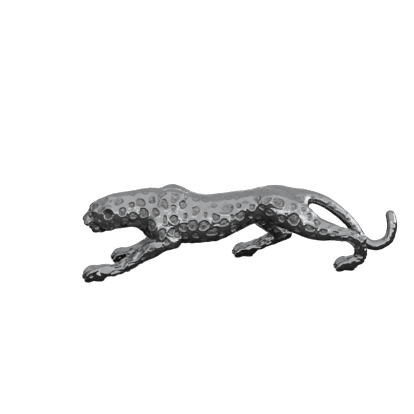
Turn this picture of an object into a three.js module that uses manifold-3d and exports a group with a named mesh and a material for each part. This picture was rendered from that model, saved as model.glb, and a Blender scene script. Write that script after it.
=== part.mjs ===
// Hood ornament: a stalking leopard, cast in one piece and chrome plated, held to a car's hood by
// a threaded stud in each paw. Millimetres, +Z up. The nose points to -X and the cat's left flank
// faces -Y. The hood's upper surface is the plane z = 0, on which the paws' gaskets lie, and x = y = 0
// is between the flanks and near the middle of the cat's length.
import * as THREE from "three";
import { mergeVertices } from "three/addons/utils/BufferGeometryUtils.js";
import Module from "manifold-3d";

const wasm = await Module();
wasm.setup();

// ---- overall size of the cat ----
const figureLength = 208; // toes of the leading paw to the bend of the tail
const figureHeight = 57; // sole to shoulder blades
const figureWidth = 39; // across the outer edges of the paws
const drawn = { length: 208, height: 57, width: 39 }; // the size at which the outlines are drawn

// ---- paws ----
const pawLength = 14.6;
const pawWidth = 10.2;
const frontPawHeight = 8.4; // sole to the top of the foot
const rearPawHeight = 7;
const pawBelly = 2.2; // height of the widest section above the sole
const toeRadius = 2.5;

// ---- fixings ----
const studDiameter = 4; // M4
const threadPitch = 0.7;
const threadRelief = 0.3; // gap drawn between the stud and its tapped hole
const studGrip = 5.4; // length of stud screwed into the paw
const studBack = 2.4; // distance of the stud behind the paw's centre
const nutsBelow = 4.5; // stud left showing under a tightened nut
const gasketThickness = 1;
const gasketInset = 0.5; // how far the gasket stays inside the edge of the sole
const hoodSheet = 1; // steel sheet that the hardware clamps
const sealDiameter = 10;
const sealThickness = 1.5;
const washerDiameter = 9;
const washerThickness = 0.8;
const springWasherDiameter = 7.6;
const springWasherThickness = 1;
const springWasherGap = 0.16; // half the split, in radians
const nutAcrossFlats = 7;
const nutThickness = 3.2;
const nutChamfer = 0.45;
const holeClearance = 0.3; // washers and gaskets round the stud, on the radius
const nutClearance = 0.1; // drawn thread clearance, on the radius

// ---- places that follow from the sizes ----
const lengthwise = figureLength / drawn.length;
const upwards = figureHeight / drawn.height;
const crosswise = figureWidth / drawn.width;
const soleLevel = gasketThickness;
const studRadius = studDiameter / 2;
const holeRadius = studRadius + holeClearance;
const sealTop = -hoodSheet;
const washerTop = sealTop - sealThickness;
const springWasherTop = washerTop - washerThickness;
const nutTop = springWasherTop - springWasherThickness;
const studBottom = nutTop - nutThickness - nutsBelow;

// ---- finishes ----
const finish = (color, roughness, metalness) =>
  new THREE.MeshStandardMaterial({ color, roughness, metalness });
const chrome = finish(0x9a9a9c, 0.14, 1);
const zincPlate = finish(0xb9bcc0, 0.35, 1);
const blackRubber = finish(0x161617, 0.85, 0);

// ---- solids ----
function solid(geometry) {
  const bare = new THREE.BufferGeometry()
    .setAttribute("position", geometry.getAttribute("position"))
    .setIndex(geometry.index);
  const merged = mergeVertices(bare, 1e-4);
  return new wasm.Manifold(
    new wasm.Mesh({
      numProp: 3,
      vertProperties: merged.attributes.position.array,
      triVerts: new Uint32Array(merged.index.array),
    }),
  );
}

function geometryOf(body) {
  const mesh = body.getMesh();
  return new THREE.BufferGeometry()
    .setAttribute("position", new THREE.BufferAttribute(mesh.vertProperties, 3))
    .setIndex(new THREE.BufferAttribute(mesh.triVerts, 1));
}

// A skinned tube through stations [x, y, z, halfWidth, halfHeight], with a dome at each end.
function limb(stations, sides, ringsPerSpan) {
  const centres = new THREE.CatmullRomCurve3(
    stations.map(
      ([x, y, z]) =>
        new THREE.Vector3(x * lengthwise, y * crosswise, soleLevel + z * upwards),
    ),
    false,
    "catmullrom",
    0.5,
  );
  const girths = new THREE.CatmullRomCurve3(
    stations.map(([, , , w, h]) => new THREE.Vector3(w * crosswise, h * upwards, 0)),
    false,
    "catmullrom",
    0.5,
  );
  const domeSteps = [0.25, 0.5, 0.8];
  const spans = (stations.length - 1) * ringsPerSpan;
  const rings = [];
  const ring = (t, along, share) => {
    const girth = girths.getPoint(t);
    const forward = centres.getTangent(t);
    const across = new THREE.Vector3(0, 1, 0).addScaledVector(forward, -forward.y).normalize();
    const raised = new THREE.Vector3().crossVectors(forward, across);
    const centre = centres.getPoint(t).addScaledVector(forward, along * girth.y);
    const points = [];
    for (let i = 0; i < sides; i++) {
      const turn = (2 * Math.PI * i) / sides;
      points.push(
        centre
          .clone()
          .addScaledVector(across, Math.cos(turn) * girth.x * share)
          .addScaledVector(raised, Math.sin(turn) * girth.y * share),
      );
    }
    rings.push(points);
  };
  const tip = (t, along) =>
    centres.getPoint(t).addScaledVector(centres.getTangent(t), along * girths.getPoint(t).y);
  for (const s of [...domeSteps].reverse()) ring(0, -s, Math.sqrt(1 - s * s));
  for (let i = 0; i <= spans; i++) ring(i / spans, 0, 1);
  for (const s of domeSteps) ring(1, s, Math.sqrt(1 - s * s));
  return closedSkin(rings, tip(0, -1), tip(1, 1));
}

function closedSkin(rings, firstTip, lastTip) {
  const sides = rings[0].length;
  const points = [firstTip, ...rings.flat(), lastTip];
  const faces = [];
  const at = (r, i) => 1 + r * sides + (i % sides);
  for (let i = 0; i < sides; i++) {
    faces.push(0, at(0, i + 1), at(0, i));
    faces.push(points.length - 1, at(rings.length - 1, i), at(rings.length - 1, i + 1));
  }
  for (let r = 0; r + 1 < rings.length; r++)
    for (let i = 0; i < sides; i++) {
      faces.push(at(r, i), at(r + 1, i + 1), at(r + 1, i));
      faces.push(at(r, i), at(r, i + 1), at(r + 1, i + 1));
    }
  const made = new THREE.BufferGeometry().setFromPoints(points);
  made.setIndex(faces);
  return solid(made);
}

// An ellipsoid placed like a limb's station, tilted about Y.
function bulge([x, y, z], [rx, ry, rz], tilt = 0, segments = 14) {
  const ball = new THREE.SphereGeometry(1, segments, Math.round(segments * 0.7));
  ball.scale(rx * lengthwise, ry * crosswise, rz * upwards);
  ball.rotateY(tilt);
  ball.translate(x * lengthwise, y * crosswise, soleLevel + z * upwards);
  return solid(ball);
}

// ---- the cat's outline at the drawn size ----
// Stations of a limb: [x, y, z above the sole, half width, half height].
const trunk = [
  [52, 0, 44.3, 8.5, 6.8],
  [43, 0, 41.6, 11.4, 10.8],
  [31, 0, 41.9, 12, 11.2],
  [18, 0, 40, 12.2, 11.8],
  [4, 0, 36.5, 13.2, 13.9],
  [-10, 0, 33.9, 14, 15.9],
  [-24, 0, 35.3, 14, 17.9],
  [-37, 0, 38.5, 12.6, 17.3],
  [-47, 0, 41.4, 11, 14.6],
  [-57, 0, 42.2, 10, 12.3],
  [-67, 0, 40.8, 9.7, 11.9],
  [-74, 0, 40.4, 9.7, 11],
  [-78.4, 0, 39.5, 8.2, 8.9],
];
const tail = [
  [50, 0, 46.9, 5, 4.6],
  [58, 0, 46.3, 4.2, 4.2],
  [67, 0, 42.8, 3.9, 4],
  [78, 0, 34.4, 3.7, 3.8],
  [87.4, -0.5, 23.6, 3.5, 3.6],
  [93.6, -1, 13.8, 3.5, 3.6],
  [102, -1, 9.7, 3.4, 3.5],
  [110.4, -0.6, 13.6, 3.4, 3.4],
  [113, 1.2, 22.2, 3.4, 3.4],
  [112, 3.6, 29.2, 3.4, 3.4],
];
// Each leg is one or more limbs, from the body down to the paw.
const legs = {
  front_left: {
    limbs: [
      [
        [-32.4, -5, 51.4, 4.6, 6.2],
        [-35, -7.4, 45, 6, 8],
        [-38.6, -9.8, 37.4, 6.6, 9.6],
        [-38.6, -11.6, 30.4, 6.2, 8.8],
        [-34.6, -12.6, 25, 5, 6],
      ],
      [
        [-32.6, -12.8, 24.4, 4.4, 5.2],
        [-40.5, -13.4, 22.2, 4.9, 5.8],
        [-51, -14, 16.2, 4.4, 4.9],
        [-62, -14.4, 9.4, 4, 4.3],
        [-72, -14.2, 4.8, 4.4, 4.4],
        [-82, -13.8, 4.2, 4.2, 3.6],
      ],
    ],
    paw: [-83.5, -13.8],
    pawHeight: frontPawHeight,
  },
  front_right: {
    limbs: [
      [
        [-32, 5, 51, 4.6, 6.6],
        [-33, 7.4, 44, 6, 8.4],
        [-33.6, 9.8, 36, 6.6, 9.4],
        [-30.6, 11.6, 29, 6, 8.4],
        [-25.2, 12.8, 23, 4.8, 5.8],
      ],
      [
        [-23, 13, 22, 4.4, 5],
        [-31, 13.4, 19.2, 4.7, 5.4],
        [-40, 13.8, 14.2, 4.2, 4.6],
        [-48, 14, 9.4, 4, 4],
        [-55.5, 14, 5.4, 4, 3.8],
        [-62, 13.8, 4.2, 4.2, 3.6],
      ],
    ],
    paw: [-63.3, 13.8],
    pawHeight: frontPawHeight,
  },
  rear_left: {
    limbs: [
      [
        [29, -3.4, 43, 5.6, 9.4],
        [39, -7.2, 41, 6.6, 11.4],
        [49, -9.4, 35.9, 6.4, 10.8],
        [58, -11, 30, 5.4, 8.7],
        [67, -12, 26.4, 4.5, 6.6],
        [76, -13, 25, 4.1, 5],
        [84.6, -13, 22, 3.9, 4.7],
        [90, -12.8, 14.4, 3.8, 4.3],
        [89.8, -12.4, 5.4, 4, 4.4],
        [82, -12, 3.8, 4.2, 3.2],
      ],
    ],
    paw: [80.6, -12],
    pawHeight: rearPawHeight,
  },
  rear_right: {
    limbs: [
      [
        [42, 4, 42.4, 6, 9.6],
        [35, 8, 37.8, 6.4, 11],
        [28.8, 11.2, 30.4, 5.8, 9],
        [31.6, 12.8, 23.8, 4.9, 6.4],
        [36.8, 13.8, 18.4, 4.6, 5.2],
        [42, 14.4, 14.2, 4.4, 4.8],
      ],
      [
        [42.8, 14.4, 13.4, 4.2, 4.8],
        [32.4, 14.8, 8.6, 4, 4.2],
        [24, 14.8, 5.2, 3.9, 4],
        [17, 14.8, 3.8, 4.2, 3.2],
      ],
    ],
    paw: [16.6, 14.8],
    pawHeight: rearPawHeight,
  },
};
// Ellipsoids: [centre, radii, tilt about Y].
const headMasses = [
  [[-84.6, 0, 34.9], [5.4, 5.4, 4.5], 0.35], // muzzle
  [[-80.2, 0, 30.6], [5.8, 4.8, 4.8], 0], // chin
  [[-74, -5, 35], [6, 4.8, 6.2], 0], // jaws
  [[-74, 5, 35], [6, 4.8, 6.2], 0],
  [[-72.4, -8.6, 44.6], [2.6, 1.9, 3.2], -0.5], // ears
  [[-72.4, 8.6, 44.6], [2.6, 1.9, 3.2], -0.5],
];
const chest = [[-43, 0, 31], [9, 9.5, 10], 0.4];

function pawCentre(name) {
  const [x, y] = legs[name].paw;
  return new THREE.Vector2(x * lengthwise, y * crosswise);
}

function studCentre(name) {
  return pawCentre(name).add(new THREE.Vector2(studBack, 0));
}

// How much smaller a paw's flat sole is than its widest section.
function soleShare(name) {
  return Math.sqrt(1 - (pawBelly / (legs[name].pawHeight - pawBelly)) ** 2);
}

function pawSolid(name) {
  const centre = pawCentre(name);
  const rise = legs[name].pawHeight - pawBelly;
  const foot = new THREE.SphereGeometry(1, 16, 10);
  foot.scale(pawLength / 2, pawWidth / 2, rise);
  foot.translate(centre.x, centre.y, soleLevel + pawBelly);
  let paw = solid(foot);
  const toeSpread = (pawWidth / 2 - toeRadius * 0.8) / 1.5;
  for (const step of [-1.5, -0.5, 0.5, 1.5]) {
    const toe = new THREE.SphereGeometry(toeRadius, 8, 6);
    toe.scale(1.25, 0.85, 1.05);
    const setBack = Math.abs(step) > 1 ? toeRadius * 0.7 : 0;
    toe.translate(
      centre.x - pawLength / 2 + toeRadius * 0.9 + setBack,
      centre.y + step * toeSpread,
      soleLevel + pawBelly,
    );
    paw = paw.add(solid(toe));
  }
  return paw;
}

function castingSolid() {
  const pieces = [limb(trunk, 20, 3), limb(tail, 12, 3)];
  for (const mass of [...headMasses, chest]) pieces.push(bulge(...mass));
  for (const name of Object.keys(legs)) {
    for (const stations of legs[name].limbs) pieces.push(limb(stations, 14, 3));
    pieces.push(pawSolid(name));
  }
  let casting = pieces.reduce((whole, piece) => whole.add(piece));
  const deep = 4 * figureHeight;
  const underSole = new THREE.BoxGeometry(4 * figureLength, 4 * figureWidth, deep);
  underSole.translate(0, 0, soleLevel - deep / 2);
  casting = casting.subtract(solid(underSole));
  for (const name of Object.keys(legs)) {
    const depth = studGrip + threadRelief;
    const hole = new THREE.CylinderGeometry(
      studRadius + threadRelief,
      studRadius + threadRelief,
      2 * depth,
      24,
    );
    hole.rotateX(Math.PI / 2);
    const { x, y } = studCentre(name);
    hole.translate(x, y, soleLevel);
    casting = casting.subtract(solid(hole));
  }
  return casting;
}

// ---- fixings ----
function ringShape(outer, inner) {
  const ring = new THREE.Shape().absarc(0, 0, outer, 0, 2 * Math.PI);
  ring.holes.push(new THREE.Path().absarc(0, 0, inner, 0, 2 * Math.PI, true));
  return ring;
}

function plate(shape, top, thickness, curveSegments = 12) {
  const made = new THREE.ExtrudeGeometry(shape, {
    depth: thickness,
    bevelEnabled: false,
    curveSegments,
  });
  return made.translate(0, 0, top - thickness);
}

function gasketGeometry(name) {
  const shape = new THREE.Shape().absellipse(
    -studBack,
    0,
    (pawLength / 2) * soleShare(name) - gasketInset,
    (pawWidth / 2) * soleShare(name) - gasketInset,
    0,
    2 * Math.PI,
  );
  shape.holes.push(new THREE.Path().absarc(0, 0, holeRadius, 0, 2 * Math.PI, true));
  return plate(shape, gasketThickness, gasketThickness);
}

function studGeometry() {
  const top = soleLevel + studGrip;
  const chamfer = threadPitch;
  const profile = [
    [0, studBottom],
    [studRadius - chamfer, studBottom],
    [studRadius, studBottom + chamfer],
    [studRadius, top - chamfer],
    [studRadius - chamfer, top],
    [0, top],
  ];
  const turned = new THREE.LatheGeometry(
    profile.map(([r, z]) => new THREE.Vector2(r, z)),
    24,
  );
  return turned.rotateX(Math.PI / 2);
}

function springWasherGeometry() {
  const outer = springWasherDiameter / 2;
  const shape = new THREE.Shape()
    .absarc(0, 0, outer, springWasherGap, 2 * Math.PI - springWasherGap)
    .absarc(0, 0, holeRadius, 2 * Math.PI - springWasherGap, springWasherGap, true);
  return plate(shape, springWasherTop, springWasherThickness);
}

function nutGeometry() {
  const corner = nutAcrossFlats / 2 / Math.cos(Math.PI / 6);
  const hexagon = new THREE.CylinderGeometry(corner, corner, nutThickness, 6);
  hexagon.rotateX(Math.PI / 2);
  const slope = Math.tan(Math.PI / 6);
  const barrel = new THREE.LatheGeometry(
    [
      [0, -nutThickness / 2],
      [corner - nutChamfer, -nutThickness / 2],
      [corner, -nutThickness / 2 + nutChamfer * slope],
      [corner, nutThickness / 2 - nutChamfer * slope],
      [corner - nutChamfer, nutThickness / 2],
      [0, nutThickness / 2],
    ].map(([r, z]) => new THREE.Vector2(r, z)),
    24,
  );
  barrel.rotateX(Math.PI / 2);
  const boreRadius = studRadius + nutClearance;
  const bore = new THREE.CylinderGeometry(boreRadius, boreRadius, 2 * nutThickness, 24);
  bore.rotateX(Math.PI / 2);
  const nut = solid(hexagon).intersect(solid(barrel)).subtract(solid(bore));
  return geometryOf(nut).translate(0, 0, nutTop - nutThickness / 2);
}

function piece(name, geometry, material, place) {
  const mesh = new THREE.Mesh(geometry, material);
  mesh.name = name;
  if (place) mesh.position.set(place.x, place.y, 0);
  return mesh;
}

const ornament = new THREE.Group();
ornament.add(piece("leopard_casting", geometryOf(castingSolid()), chrome));
const seal = plate(ringShape(sealDiameter / 2, holeRadius), sealTop, sealThickness);
const washer = plate(ringShape(washerDiameter / 2, holeRadius), washerTop, washerThickness);
for (const name of Object.keys(legs)) {
  const place = studCentre(name);
  ornament.add(
    piece(`${name}_paw_gasket`, gasketGeometry(name), blackRubber, place),
    piece(`${name}_stud`, studGeometry(), zincPlate, place),
    piece(`${name}_sealing_washer`, seal, blackRubber, place),
    piece(`${name}_flat_washer`, washer, zincPlate, place),
    piece(`${name}_spring_washer`, springWasherGeometry(), zincPlate, place),
    piece(`${name}_nut`, nutGeometry(), zincPlate, place),
  );
}

export default ornament;
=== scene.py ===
# A chromed hood ornament: a spotted leopard stalking, on four paws that bolt through the hood.
import math

import bpy
import numpy as np
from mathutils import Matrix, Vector
from mathutils.bvhtree import BVHTree


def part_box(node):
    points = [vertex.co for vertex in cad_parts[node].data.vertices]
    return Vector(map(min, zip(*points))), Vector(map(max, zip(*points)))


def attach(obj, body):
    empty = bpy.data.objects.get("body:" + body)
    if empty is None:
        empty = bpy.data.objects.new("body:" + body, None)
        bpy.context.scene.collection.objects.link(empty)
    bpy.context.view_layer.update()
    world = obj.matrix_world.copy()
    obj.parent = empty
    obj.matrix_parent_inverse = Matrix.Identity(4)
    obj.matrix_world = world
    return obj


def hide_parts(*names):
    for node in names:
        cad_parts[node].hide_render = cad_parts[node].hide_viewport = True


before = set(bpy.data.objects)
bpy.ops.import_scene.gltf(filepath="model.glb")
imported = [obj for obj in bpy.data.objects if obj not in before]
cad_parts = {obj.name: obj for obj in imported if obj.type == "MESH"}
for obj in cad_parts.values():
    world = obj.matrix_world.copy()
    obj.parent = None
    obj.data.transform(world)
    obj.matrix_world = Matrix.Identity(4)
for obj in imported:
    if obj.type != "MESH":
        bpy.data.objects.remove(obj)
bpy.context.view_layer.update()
mm = 0.001
print("frame loaded")

# the casting: its grid in mm, finer at the head and paws, and its random draws
cast = {
    # where the grid's step changes, and its step from there on
    "alongBody": [(-96, 0.45), (-68, 0.61), (121, 0)],
    "across": [(-25, 0.57), (26, 0)],
    "upwards": [(-1.2, 0.47), (10.5, 0.58), (64, 0)],
    "soleHeight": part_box("leopard_casting")[0].z / mm,
    "empty": 60.0,          # the field's value where there is no metal
    "margin": 1.5,          # grid worked on beyond the reach of each shape
    "smoothing": 2,         # rounds that take the grid's steps off the skin
    "seed": 41,
}
rng = np.random.default_rng(cast["seed"])


def linearOf(hexCode):
    # sRGB hex to the linear colour that nodes want
    parts = [int(hexCode[i:i + 2], 16) / 255 for i in (0, 2, 4)]
    return tuple(c / 12.92 if c <= 0.04045 else ((c + 0.055) / 1.055) ** 2.4 for c in parts) + (1,)


def pieceFrom(name, points, faces, smooth=True):
    # points in mm; the object keeps the CAD frame
    mesh = bpy.data.meshes.new(name)
    mesh.from_pydata((np.asarray(points, float) * mm).tolist(), [], faces)
    mesh.validate()
    mesh.update()
    mesh.polygons.foreach_set("use_smooth", [smooth] * len(mesh.polygons))
    made = bpy.data.objects.new(name, mesh)
    bpy.context.scene.collection.objects.link(made)
    return made


def newMaterial(name):
    made = bpy.data.materials.new(name)
    made.use_nodes = True
    made.node_tree.nodes.clear()
    return made


def addNode(tree, kind, settings=None, links=None):
    # settings: attribute or socket -> value; links: socket -> output of another node
    node = tree.nodes.new(kind)
    for key, value in (settings or {}).items():
        if isinstance(key, int) or key in node.inputs:
            node.inputs[key].default_value = value
        else:
            setattr(node, key, value)
    for key, output in (links or {}).items():
        tree.links.new(output, node.inputs[key])
    return node


# the casting is soft-joined lumps and swept limbs, held as a distance field on a grid
def gradedAxis(knots):
    out = [np.linspace(a, b, max(2, round((b - a) / step)), endpoint=False)
           for (a, step), (b, _) in zip(knots[:-1], knots[1:])]
    return np.append(np.concatenate(out), knots[-1][0])


axes = [gradedAxis(cast[key]) for key in ("alongBody", "across", "upwards")]
counts = np.array([len(axis) for axis in axes])
field = np.full(counts, cast["empty"], np.float32)
sole = cast["soleHeight"]


def windowOf(lowest, highest):
    # the part of the grid between two corners, as slices and open coordinate arrays
    cut = []
    for axis, a, b in zip(axes, lowest, highest):
        first = min(max(np.searchsorted(axis, a) - 1, 0), len(axis) - 2)
        cut.append(slice(first, max(np.searchsorted(axis, b) + 1, first + 1)))
    cut = tuple(cut)
    x = axes[0][cut[0]][:, None, None]
    y = axes[1][cut[1]][None, :, None]
    z = axes[2][cut[2]][None, None, :]
    return cut, x, y, z


def joinShape(cut, distance, blend):
    held = field[cut]
    share = np.clip(0.5 + 0.5 * (held - distance) / blend, 0, 1)
    field[cut] = held + (distance - held) * share - blend * share * (1 - share)


def carveShape(cut, distance, blend):
    held = field[cut]
    share = np.clip(0.5 - 0.5 * (held + distance) / blend, 0, 1)
    field[cut] = held + (-distance - held) * share + blend * share * (1 - share)


def lump(centre, radii, blend=2.0, lean=0.0, turn=0.0, carve=False):
    # an ellipsoid; lean tips it about Y, turn swings it about Z
    centre = np.array(centre, float) + [0, 0, sole]
    reach = max(radii) + blend + cast["margin"]
    cut, x, y, z = windowOf(centre - reach, centre + reach)
    x, y, z = x - centre[0], y - centre[1], z - centre[2]
    x, y = x * math.cos(turn) + y * math.sin(turn), y * math.cos(turn) - x * math.sin(turn)
    x, z = x * math.cos(lean) - z * math.sin(lean), z * math.cos(lean) + x * math.sin(lean)
    a, b, c = radii
    near = np.sqrt((x / a) ** 2 + (y / b) ** 2 + (z / c) ** 2)
    slope = np.sqrt((x / a**2) ** 2 + (y / b**2) ** 2 + (z / c**2) ** 2) + 1e-5
    distance = near * (near - 1) / slope
    (carveShape if carve else joinShape)(cut, distance.astype(np.float32), blend)


def bothSides(centre, radii, blend=2.0, lean=0.0, turn=0.0, carve=False):
    lump(centre, radii, blend, lean, turn, carve)
    x, y, z = centre
    lump((x, -y, z), radii, blend, lean, -turn, carve)


def splineThrough(stations, spacing):
    # Catmull-Rom through the rows, resampled about every spacing mm
    rows = np.array(stations, float)
    padded = np.vstack([2 * rows[0] - rows[1], rows, 2 * rows[-1] - rows[-2]])
    out = []
    for i in range(1, len(padded) - 2):
        a, b, c, d = padded[i - 1:i + 3]
        steps = max(2, int(np.linalg.norm((c - b)[:3]) / spacing))
        for t in np.arange(steps) / steps:
            out.append(0.5 * (2 * b + (c - a) * t + (2 * a - 5 * b + 4 * c - d) * t**2
                              + (3 * b - a - 3 * c + d) * t**3))
    out.append(padded[-2])
    return np.array(out)


def limb(stations, blend=2.0, spacing=2.4, carve=False):
    # stations: x, y, z above the sole, half width across, half height in the leg's own plane, and
    # how far the widest line of the section lies below its middle, as a share of the half height
    path = splineThrough([list(row) + [0] * (6 - len(row)) for row in stations], spacing)
    path[:, 2] += sole
    frames = []                                  # across and upwards at each point of the path
    reach = path[:, 3:5].max() + blend + cast["margin"]
    cut = windowOf(path[:, :3].min(0) - reach, path[:, :3].max(0) + reach)[0]
    whole = np.full(field[cut].shape, cast["empty"], np.float32)
    origin = [s.start for s in cut]
    for p, q in zip(path[:-1], path[1:]):
        span = q[:3] - p[:3]
        length = np.linalg.norm(span)
        along = span / length
        across = np.array([0, 1, 0]) - along * along[1]
        across /= np.linalg.norm(across)
        raised = np.cross(along, across)
        raised *= 1 if raised[2] > -0.05 else -1             # upwards, but free to pass the vertical
        frames.append((across, raised))
        near = max(p[3:5].max(), q[3:5].max()) + blend + cast["margin"]
        part, x, y, z = windowOf(np.minimum(p[:3], q[:3]) - near, np.maximum(p[:3], q[:3]) + near)
        local = tuple(slice(s.start - o, s.stop - o) for s, o in zip(part, origin))
        x, y, z = x - p[0], y - p[1], z - p[2]
        t = np.clip((x * along[0] + y * along[1] + z * along[2]) / length, 0, 1)
        x, y, z = x - t * span[0], y - t * span[1], z - t * span[2]
        a = p[3] + (q[3] - p[3]) * t
        b = p[4] + (q[4] - p[4]) * t
        u = x * across[0] + y * across[1] + z * across[2]
        sag = p[5] + (q[5] - p[5]) * t
        v = x * raised[0] + y * raised[1] + z * raised[2] + sag * b
        b = b * np.where(v > 0, 1 + sag, 1 - sag)
        w = x * along[0] + y * along[1] + z * along[2]
        size = np.sqrt((u / a) ** 2 + (v / b) ** 2 + (w / b) ** 2)
        slope = np.sqrt((u / a**2) ** 2 + (v / b**2) ** 2 + (w / b**2) ** 2) + 1e-5
        whole[local] = np.minimum(whole[local], size * (size - 1) / slope)
    (carveShape if carve else joinShape)(cut, whole, blend)
    return path, np.array(frames + frames[-1:])


# x, y, z above the sole, half width, half height; all in mm in the CAD frame
body = {
    "trunk": [
        [52, 0, 44.3, 8.5, 6.8, 0], [43, 0, 41.6, 11, 10.8, 0.1], [31, 0, 41.9, 11.0, 11.2, -0.45],
        [18, 0, 40.2, 11.6, 11.6, -0.1], [4, 0, 36.5, 13.2, 13.9, 0.16], [-10, 0, 33.9, 14, 15.9, 0.2],
        [-24, 0, 35, 14, 17.6, 0.2], [-37, 0, 38.3, 12.2, 17, 0.2], [-47, 0, 41.4, 10.8, 14.6, 0.2],
        [-57, 0, 42.2, 9.8, 12.3, 0.15], [-67, 0, 40.8, 9.4, 11.6, 0.1], [-73, 0, 40.4, 9.2, 10, 0],
    ],
    "tail": [
        [48, 0, 46.9, 6, 4.8], [58, 0, 46.2, 4.2, 4.2], [67, 0, 42.7, 3.9, 4],
        [78, 0, 34.3, 3.7, 3.8], [87.4, -0.5, 23.6, 3.5, 3.6], [93.6, -1, 13.9, 3.5, 3.6],
        [102, -1, 9.8, 3.4, 3.5], [110.4, -0.6, 13.7, 3.4, 3.4], [112.9, 1.2, 22.2, 3.5, 3.4],
        [112, 3.6, 29.0, 3.3, 3.3],
    ],
}
legs = {
    "frontLeft": {
        "upper": [
            [-32.4, -5, 50.6, 3.6, 6.4], [-35, -7, 44.6, 5.8, 8.4], [-38.4, -9.2, 37.4, 6.6, 9.6],
            [-38.4, -11.2, 30.4, 6.2, 8.8], [-34.4, -12.4, 25, 5, 6],
        ],
        "lower": [
            [-32.0, -12.8, 24.2, 4.4, 5.2], [-40.5, -13.4, 22.0, 4.8, 5.9],
            [-51, -14, 16.0, 4.3, 4.9], [-62, -14.4, 9.2, 3.8, 4.2], [-71, -14.3, 5.4, 3.9, 3.9],
            [-80, -13.8, 4.6, 4.0, 3.7],
        ],
        "paw": (-83.8, -13.8, 1.0),
    },
    "frontRight": {
        "upper": [
            [-32, 5, 50.4, 3.8, 6.6], [-33, 7, 44, 5.8, 8.4], [-33.6, 9.6, 36, 6.6, 9.4],
            [-30.6, 11.6, 29, 6, 8.4], [-25.2, 12.8, 23, 4.8, 5.8],
        ],
        "lower": [
            [-22.8, 13, 22, 4.4, 5], [-31, 13.4, 19.2, 4.6, 5.3], [-40, 13.8, 14.2, 4.1, 4.5],
            [-48, 14, 9.2, 3.8, 3.8], [-55.5, 14, 5.0, 3.8, 3.6], [-60, 13.8, 4.2, 4.0, 3.5],
        ],
        "paw": (-63.4, 13.8, 0.80),
    },
    "rearLeft": {
        "upper": [
            [30, -4.4, 43.5, 6.2, 9.2, -0.45], [39, -8.2, 41, 6.8, 10.8, 0.1],
            [49, -9.6, 35.9, 6.4, 10.4, 0.35], [58, -11, 30, 5.4, 8.6, 0.4], [67, -12, 26.4, 4.5, 6.5, 0.3],
        ],
        "lower": [
            [64, -11.7, 27.4, 4.6, 6.8, 0.3], [76, -12.9, 24.9, 3.9, 4.9, 0.2], [84.6, -13, 22.2, 3.7, 4.5],
            [90.4, -12.8, 14.6, 3.5, 4.0], [89.8, -12.4, 6.4, 3.8, 4.2], [83.5, -12, 4.4, 4.0, 3.4],
        ],
        "paw": (80.6, -12.0, 0.76),
    },
    "rearRight": {
        "upper": [
            [42, 4, 42.4, 6, 9.6], [35, 8, 37.8, 6.4, 11], [28.8, 11.2, 30.4, 5.8, 9],
            [31.6, 12.8, 23.8, 4.8, 6.3], [36.8, 13.8, 18.4, 4.5, 5.2], [42, 14.4, 14.2, 4.2, 4.6],
        ],
        "lower": [
            [42.8, 14.4, 13.6, 4.1, 4.8], [32.4, 14.8, 8.8, 3.8, 4.2], [24, 14.8, 5.2, 3.8, 3.8],
            [19.5, 14.8, 4.4, 4.0, 3.4],
        ],
        "paw": (16.6, 14.8, 0.76),
    },
}


def shapePaw(x, y, size):
    # the foot behind the toes, four toes arched over their knuckles, a claw in each, and deep gaps
    lump((x + 2.2, y, 2.4), (4.8, 4.3, 5.0 * size), 1.2)
    lump((x + 5.0, y, 1.8), (3.4, 3.8, 3.2), 1.2)
    lump((x - 2.4, y, 1.0), (4.4, 3.7, 2.4), 0.8)
    for ray in (-1.5, -0.5, 0.5, 1.5):
        side = y + ray * 2.55
        back = 1.2 if abs(ray) > 1 else 0.0
        limb([
            [x + 10.0, y + ray * 0.9, 8.6, 0.7, 0.7],
            [x + 6.0, y + ray * 1.2, 8.2 * size, 0.8, 0.8],
            [x + 2.0, y + ray * 1.8, 7.0 * size, 1.0, 1.2],
            [x - 1.8 + back, side, 6.2 * size, 1.28, 1.7],
            [x - 4.8 + back, side + ray * 0.1, 4.6 * size, 1.3, 1.7],
            [x - 6.0 + back, side + ray * 0.2, 1.4, 1.25, 1.6],
        ], 0.3, 1.2)
        lump((x - 7.1 + back, side + ray * 0.25, 1.5), (1.1, 0.5, 0.7), 0.3, -0.5)
    for ray in (-1, 0, 1):
        limb([
            [x - 0.4, y + ray * 2.2, 6.4 * size, 0.3, 0.4],
            [x - 3.4, y + ray * 2.55, 5.6 * size, 0.4, 1.1],
            [x - 6.0, y + ray * 2.7, 3.2, 0.5, 1.6],
            [x - 6.8, y + ray * 2.75, 0.6, 0.5, 1.4],
        ], 0.45, 1.0, carve=True)


limb(body["trunk"], 1.0)
bothSides((36, 5.6, 49.2), (6.5, 3.0, 2.6), 3.0, 0.1)         # points of the hip
bothSides((-8, 9.5, 33), (16, 4.6, 11), 4.0)                   # ribs
lump((-43, 0, 31), (9, 9, 10), 3.5, 0.4)                       # breast
bothSides((25, 16.4, 35.0), (10.5, 5.0, 6.0), 2.5, -0.62, carve=True)   # hollow of the flank
bothSides((16.2, 9.2, 43.4), (4.2, 2.6, 4.2), 2.2)             # end of the ribs
lump((-60, 0, 50.4), (14, 3.2, 2.2), 3.0, 0.08)                # crest of the neck
shins = []                                   # path and frames of each lower leg
for name, leg in legs.items():
    limb(leg["upper"], 2.6 if name.startswith("front") else 3.4)
    shins.append(limb(leg["lower"], 1.8))
    shapePaw(*leg["paw"])
lump((-34.5, -5.0, 48.6), (8.4, 3.4, 7.2), 3.0, 0.2)           # blades of the shoulders
bothSides((-27.0, 4.0, 48.6), (8.5, 3.8, 6.2), 3.5, 0.35)      # and the muscle behind them
lump((-31.0, 0, 48.6), (9.5, 4.4, 6.4), 3.0, 0.22)             # filled between the two
lump((-30.0, -12.6, 22.4), (2.8, 2.6, 3.0), 2.0)               # points of the elbows
lump((-20.6, 13.2, 20.8), (2.8, 2.6, 3.0), 1.6)
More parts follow.
